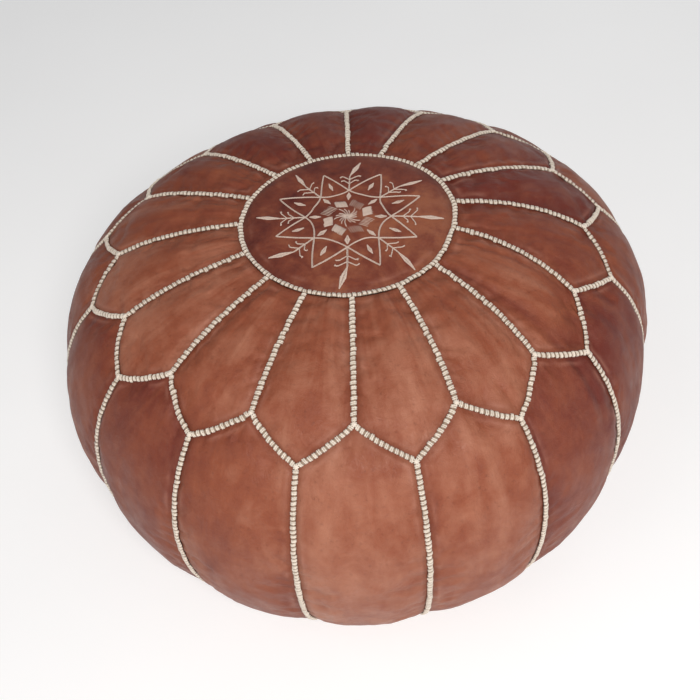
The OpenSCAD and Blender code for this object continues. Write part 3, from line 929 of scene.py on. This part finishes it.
def embroidered_rosette():
    groups = []
    for k in range(BRANCHES):
        angle = math.radians((2 * k + 1) * HALF_BRANCH)
        out = np.array([math.cos(angle), math.sin(angle)])
        side = perp(out)
        dense = LOZENGE_DENSE[k]
        t = np.linspace(-1, 1, 17 if dense else 7)[:, None]
        middle = out * LOZENGE_R + (side * LOZENGE_HALF_W + out * LOZENGE_SLANT) * t
        a = middle - out * LOZENGE_HALF_L
        b = middle + out * LOZENGE_HALF_L
        b = b + out * rng.uniform(-0.6, 0.6, t.shape) * MM
        # The sparse lozenges are painted darker than the dense ones: painted shade standing for the
        # weaker sheen of their stitch direction
        groups.append((a, b, (0.36 if dense else 0.32) * MM, 0.12 if dense else 0.25))
    for k in range(2 * BRANCHES):
        out = np.linspace(0.05, 1, 9)
        ray = at_medallion((0.09 + 0.022 * (k % 3)) * out, HALF_BRANCH * k + 20 * out ** 2)
        groups.append((*stem_stitch(ray, 0, 1.3 * MM, 1.1 * MM, 0.14 * MM), 0.4 * MM, 0.0))
    thread_piece("embroidered_rosette", groups)


# -------------------------------- seams

def stitch_places(points, normals, inset):
    """Evenly spaced places on a seam line: points, normals and directions."""
    arc = np.concatenate([[0], np.cumsum(np.linalg.norm(np.diff(points, axis=0), axis=-1))])
    count = max(1, int(round((arc[-1] - 2 * inset) / STITCH_PITCH)))
    place = inset + (np.arange(count) + 0.5) * (arc[-1] - 2 * inset) / count

    def at(values, where):
        return np.stack([np.interp(where, arc, values[:, k]) for k in range(3)], -1)

    ahead = at(points, place + 0.5 * MM) - at(points, place - 0.5 * MM)
    return at(points, place), unit(at(normals, place)), unit(ahead)


def whip_stitches(points, normals, inset=0.0):
    """Pairs of arched strands across a seam line, over a core cord painted dark as shade."""
    middle, normal, ahead = stitch_places(points, normals, inset)
    count = len(middle)
    across = np.cross(ahead, normal)
    slant = rng.normal(0.16, 0.07, count)[:, None]
    # The cord is dark all over: painted shade in the gaps between the stitches
    parts = [(*core_cord(points + normals * CORE_RISE, normals), 1.0)]
    turn = np.arange(STRAND_SIDES) * 2 * math.pi / STRAND_SIDES
    reach = STITCH_L / 2 * rng.uniform(0.86, 1.1, count)[:, None]
    middle = middle + normal * (STRAND_RISE + rng.normal(0, 0.12 * MM, count))[:, None]
    middle = middle + across * rng.normal(0, 0.18 * MM, count)[:, None]
    for side in (-1, 1):
        heart = middle + ahead * side * STRAND_APART
        lean = across + ahead * (slant + rng.normal(0, 0.03, count)[:, None])
        size = STRAND_R * rng.uniform(0.84, 1.1, count)
        arch = STRAND_ARCH * rng.uniform(0.85, 1.15, count)
        verts, faces, each = strands(heart - lean * reach, heart + lean * reach, normal, size, arch,
                                     girth=TWO_LOBED)
        # Painted shade on each strand's lower side and on its outer side, towards the gap between
        # stitches
        flank_shade = (-side * np.cos(turn)).clip(0, 1) ** 2 * 0.5 + (-np.sin(turn)).clip(0, 1) * 0.4
        flank_shade = np.tile(flank_shade, len(verts) // STRAND_SIDES)
        tone = np.repeat(rng.uniform(0, 0.3, count) ** 1.5, each)
        parts.append((verts, faces, (tone + flank_shade).clip(0, 1)))
    return parts


def knot(point, normal, ahead):
    """A small star of strands where seams meet."""
    across = np.cross(ahead, normal)
    turns = np.linspace(0, math.pi, 4, endpoint=False) + rng.uniform(0, 0.4)
    way = np.cos(turns)[:, None] * ahead + np.sin(turns)[:, None] * across
    heart = point + normal * KNOT_RISE
    up = np.broadcast_to(normal, way.shape)
    reach = way * KNOT_REACH
    verts, faces, _ = strands(heart - reach, heart + reach, up, STRAND_R, KNOT_ARCH)
    return verts, faces, 0.05


def seam_piece(name, node, parts):
    verts, faces, deep = joined(parts)
    new_piece(name, verts, faces, SEAM_THREAD, node, "seam_thread", deep=deep)


def seam_line(rows, cols):
    return COVER[rows, cols], COVER_NORMALS[rows, cols]


def all_seams():
    last = COVER.shape[0] - 1
    ring = np.arange(FINE_COLS + 1) % FINE_COLS
    petal_rows = np.arange(FINE_ZIG + 1)
    side_rows = np.arange(FINE_ZIG, last + 1)
    seam_piece("medallion_seam", "medallion_seam", whip_stitches(*seam_line(0, ring)))
    seam_piece("base_seam", "base_seam", whip_stitches(*seam_line(last, ring)))
    petal_parts, zig_parts = [], []
    for k in range(PANELS):
        peak = k * FINE_PANEL
        tip = (peak + FINE_PANEL // 2) % FINE_COLS
        petal_parts += whip_stitches(*seam_line(petal_rows, peak), inset=2 * MM)
        for first in (peak, peak + FINE_PANEL // 2):
            cols = np.arange(first, first + FINE_PANEL // 2 + 1) % FINE_COLS
            zig_parts += whip_stitches(*seam_line(FINE_ZIG, cols), inset=1.5 * MM)
        for column in (peak, tip):
            ahead = unit(COVER[FINE_ZIG + 1, column] - COVER[FINE_ZIG, column])
            zig_parts.append(knot(COVER[FINE_ZIG, column], COVER_NORMALS[FINE_ZIG, column], ahead))
        side_parts = whip_stitches(*seam_line(side_rows, tip), inset=2 * MM)
        seam_piece(f"side_seam_{k + 1:02d}", "side_seams", side_parts)
    half = len(petal_parts) // 2
    seam_piece("petal_seams_a", "petal_seams", petal_parts[:half])
    seam_piece("petal_seams_b", "petal_seams", petal_parts[half:])
    half = len(zig_parts) // 2
    seam_piece("zigzag_seam_a", "zigzag_seam", zig_parts[:half])
    seam_piece("zigzag_seam_b", "zigzag_seam", zig_parts[half:])


# -------------------------------- base

def hollow(x, y, half, run, height):
    """Height of a flat-topped hollow with sloping sides run long over the plan points x, y."""
    share = np.minimum((half.x + run - np.abs(x)) / run, (half.y + run - np.abs(y)) / run)
    return height * smooth(share)


def base_face(x, y):
    """Points of the base's lower face: gathered at its seam, hollow over the zip."""
    r = np.hypot(x, y)
    lower = SKIN_T >= 90
    z = np.interp(-r, -SKIN_R[lower], SKIN_Z[lower], right=0)
    z = np.where(r < CONTACT_R, 0, z)
    points = uneven(np.stack([x, y, z], -1))
    gather = np.exp(-(BASE_SEAM_R - r).clip(0) / (14 * MM))
    wave = noise(points, 8 * MM, 2, seed=12) * gather + 0.3 * noise(points, 30 * MM, 2, seed=13)
    lift = (0.3 + 0.3 * noise(points, 0.05, 1, seed=14)) * MM + np.abs(wave) * 1.1 * MM
    flat = 1 - smooth((r - 0.17) / 0.02)
    points[..., 2] += hollow(x, y, HOLLOW_HALF, HOLLOW_RUN, HOLLOW_H) + lift * flat * 0.6
    to_seam = smooth((r - BASE_SEAM_R + 5 * MM) / (5 * MM))
    points[..., 2] += wave * 0.8 * MM * (1 - flat) + SEAM_SINK * to_seam
    return points


def base_panel(name, side):
    """One half disc of the base, with its share of the zip's hollow and slot."""
    turn = np.linspace(0.004, math.pi - 0.004, 181)[:, None]
    down = np.linspace(0, 1, 57)[None, :] ** 1.3
    edge_r = BASE_SEAM_R - HALF_GAP
    x = -edge_r * np.cos(turn)
    rim = edge_r * np.sin(turn)
    slot_end = smooth((SLOT_HALF.x - np.abs(x)) / (2 * MM) + 0.5)
    start = HALF_GAP + (SLOT_HALF.y - HALF_GAP) * slot_end
    start = np.minimum(start, rim * 0.9)
    y = start + (rim - start) * down
    outer = base_face(x + 0 * y, side * y)
    normals = unit(np.cross(np.gradient(outer, axis=0), np.gradient(outer, axis=1)) * -side)
    inner = outer - normals * LEATHER_T
    if side > 0:
        outer, inner = outer[::-1], inner[::-1]
    verts, faces = shell(outer, inner)
    gap = (BASE_SEAM_R - np.hypot(verts[:, 0], verts[:, 1])).clip(0)
    new_piece(name, verts, faces, BASE_LEATHER, name, "leather", tint=0.62,
              edge=np.exp(-gap / BASE_SHADE))


# -------------------------------- inside

def inside_grid(depth, top_s, end_s, rows=60, cols=96):
    """A smooth grid depth below the skin; s beyond the section's end runs in along the base."""
    phi = np.arange(cols)[None, :] * -2 * math.pi / cols
    s = np.linspace(top_s, end_s, rows)[:, None] + 0 * phi
    end = SKIN_S[-1]
    points, _ = on_skin(phi, np.minimum(s, end), -depth)
    shrink = np.where(s > end, (CONTACT_R - (s - end)) / CONTACT_R, 1)
    points[..., :2] *= shrink[..., None]
    x, y, z = np.moveaxis(points, -1, 0)
    floor = hollow(x, y, BAG_HOLLOW_HALF, BAG_HOLLOW_RUN, BAG_FLOOR) + depth - 5 * MM
    points[..., 2] = np.where(z < 0.06, np.maximum(z, floor), z)
    return points


BAG_DEPTH = SEAM_SINK + SETTLED + LEATHER_T + LUMPS + 0.9 * MM
FILLING_DEPTH = BAG_DEPTH + BAG_T + 0.4 * MM
TOP_S = 2 * MM
FOOT_S = SKIN_S[-1] + CONTACT_R - 2 * MM


def inner_bag(name, top_s, end_s):
    """The bag's top or bottom: a closed cotton sheet whose edge is at the waist."""
    outer = inside_grid(BAG_DEPTH, top_s, end_s)
    inner = inside_grid(BAG_DEPTH + BAG_T, top_s, end_s)
    rows, cols = outer.shape[:2]
    count = rows * cols
    faces = ring_faces(rows, cols).tolist()
    faces += (ring_faces(rows, cols, True) + count).tolist()
    is_top = top_s == TOP_S
    open_row, shut_row = (rows - 1, 0) if is_top else (0, rows - 1)
    rim = open_row * cols + np.arange(cols)
    wall = np.stack([rim, np.roll(rim, -1), np.roll(rim, -1) + count, rim + count], -1)
    faces += (wall if is_top else wall[:, ::-1]).tolist()
    cap = (shut_row * cols + np.arange(cols)).tolist()
    inner_cap = [c + count for c in cap]
    faces += [cap[::-1], inner_cap] if is_top else [cap, inner_cap[::-1]]
    verts = np.concatenate([outer.reshape(-1, 3), inner.reshape(-1, 3)])
    new_piece(name, verts, faces, COTTON, name, "cotton")


def filling():
    grid = inside_grid(FILLING_DEPTH, TOP_S, FOOT_S, rows=110)
    rows, cols = grid.shape[:2]
    faces = ring_faces(rows, cols).tolist()
    faces += [list(range(cols))[::-1], list(range((rows - 1) * cols, rows * cols))]
    piece = new_piece("filling", grid.reshape(-1, 3), faces, STUFFING, "filling", "stuffing")


# -------------------------------- zip

def zip_materials():
    for node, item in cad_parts.items():
        if not node.startswith("zipper"):
            continue
        material = TAPE if "tape" in node else BRASS
        item.data.materials.clear()
        item.data.materials.append(material)


# -------------------------------- stage, light and camera

FLOOR_R = 30
WORLD_COLOUR = (0.95, 0.97, 1, 1)
WORLD_STRENGTH = 0.21
WARM = (1, 0.98, 0.96)


def area_light(name, place, target, size, power, colour=(1, 1, 1)):
    lamp = bpy.data.lights.new(name, "AREA")
    lamp.shape = "DISK"
    lamp.size = size
    lamp.energy = power
    lamp.color = colour
    item = bpy.data.objects.new(name, lamp)
    item.location = place
    item.rotation_euler = (Vector(target) - Vector(place)).to_track_quat("-Z", "Y").to_euler()
    bpy.context.collection.objects.link(item)


def studio():
    mesh = bpy.data.meshes.new("floor")
    turn = np.arange(96) * 2 * math.pi / 96
    rim = np.stack([FLOOR_R * np.cos(turn), FLOOR_R * np.sin(turn), 0 * turn], -1)
    mesh.from_pydata(rim.tolist(), [], [list(range(96))])
    n = Nodes("floor")
    tone = n.ramp(n.noise(n.coords(), 3, 3), (0.3, (0.77, 0.77, 0.77)), (0.7, (0.8, 0.8, 0.8)))
    mesh.materials.append(n.set(Base_Color=tone, Roughness=0.9, Emission_Strength=0.3,
                                Emission_Color=(1, 1, 1, 1)))
    floor = bpy.data.objects.new("floor", mesh)
    bpy.context.collection.objects.link(floor)
    world = bpy.data.worlds.new("studio")
    world.use_nodes = True
    sky = world.node_tree.nodes["Background"]
    sky.inputs["Color"].default_value = WORLD_COLOUR
    sky.inputs["Strength"].default_value = WORLD_STRENGTH
    bpy.context.scene.world = world
    area_light("key", (0.3, -1.4, 1.7), (0, 0, 0.12), 0.8, 36, WARM)
    area_light("fill", (-1.2, -0.9, 2.1), (0, 0, 0.15), 1.4, 5, WARM)
    area_light("back", (1.0, 2.0, 0.8), (0, 0, 0.2), 1.4, 5)


# The camera stands at the front, this far from a point on the pouf's axis, looks down at the
# target and is rolled a little. Then it is turned a little round the pouf.
CAMERA_DISTANCE = 0.9558
CAMERA_TILT = math.radians(49.64)
CAMERA_ROLL = math.radians(-4.92)
CAMERA_TURN = math.radians(2)
CAMERA_BASE_Z = 0.150
CAMERA_TARGET = Vector((-0.00794, 0, 0.1557))


def camera():
    back = CAMERA_DISTANCE * math.cos(CAMERA_TILT)
    rise = CAMERA_DISTANCE * math.sin(CAMERA_TILT)
    place = Vector((0, -back, rise + CAMERA_BASE_Z))
    ahead = (CAMERA_TARGET - place).normalized()
    right = ahead.cross(Vector((0, 0, 1))).normalized()
    up = right.cross(ahead)
    rolled_right = right * math.cos(CAMERA_ROLL) + up * math.sin(CAMERA_ROLL)
    rolled_up = up * math.cos(CAMERA_ROLL) - right * math.sin(CAMERA_ROLL)
    view = Matrix((rolled_right, rolled_up, -ahead)).transposed().to_4x4()
    view = Matrix.Rotation(CAMERA_TURN, 4, "Z") @ Matrix.Translation(place) @ view
    lens = bpy.data.cameras.new("camera")
    lens.sensor_width = 36
    lens.lens = 48.54
    item = bpy.data.objects.new("camera", lens)
    item.matrix_world = view
    bpy.context.collection.objects.link(item)
    bpy.context.scene.camera = item


COVER, COVER_NORMALS, COVER_GAP, COVER_VALLEY = finish_cover()

petals_and_sides()
medallion()
embroidered_star()
embroidered_branches()
embroidered_leaves()
embroidered_rosette()
all_seams()
base_panel("base_panel_front", -1)
base_panel("base_panel_back", 1)
inner_bag("inner_bag_top", TOP_S, S_WAIST)
inner_bag("inner_bag_bottom", S_WAIST, FOOT_S)
filling()
zip_materials()
studio()
camera()
bpy.context.scene.view_settings.view_transform = "Standard"
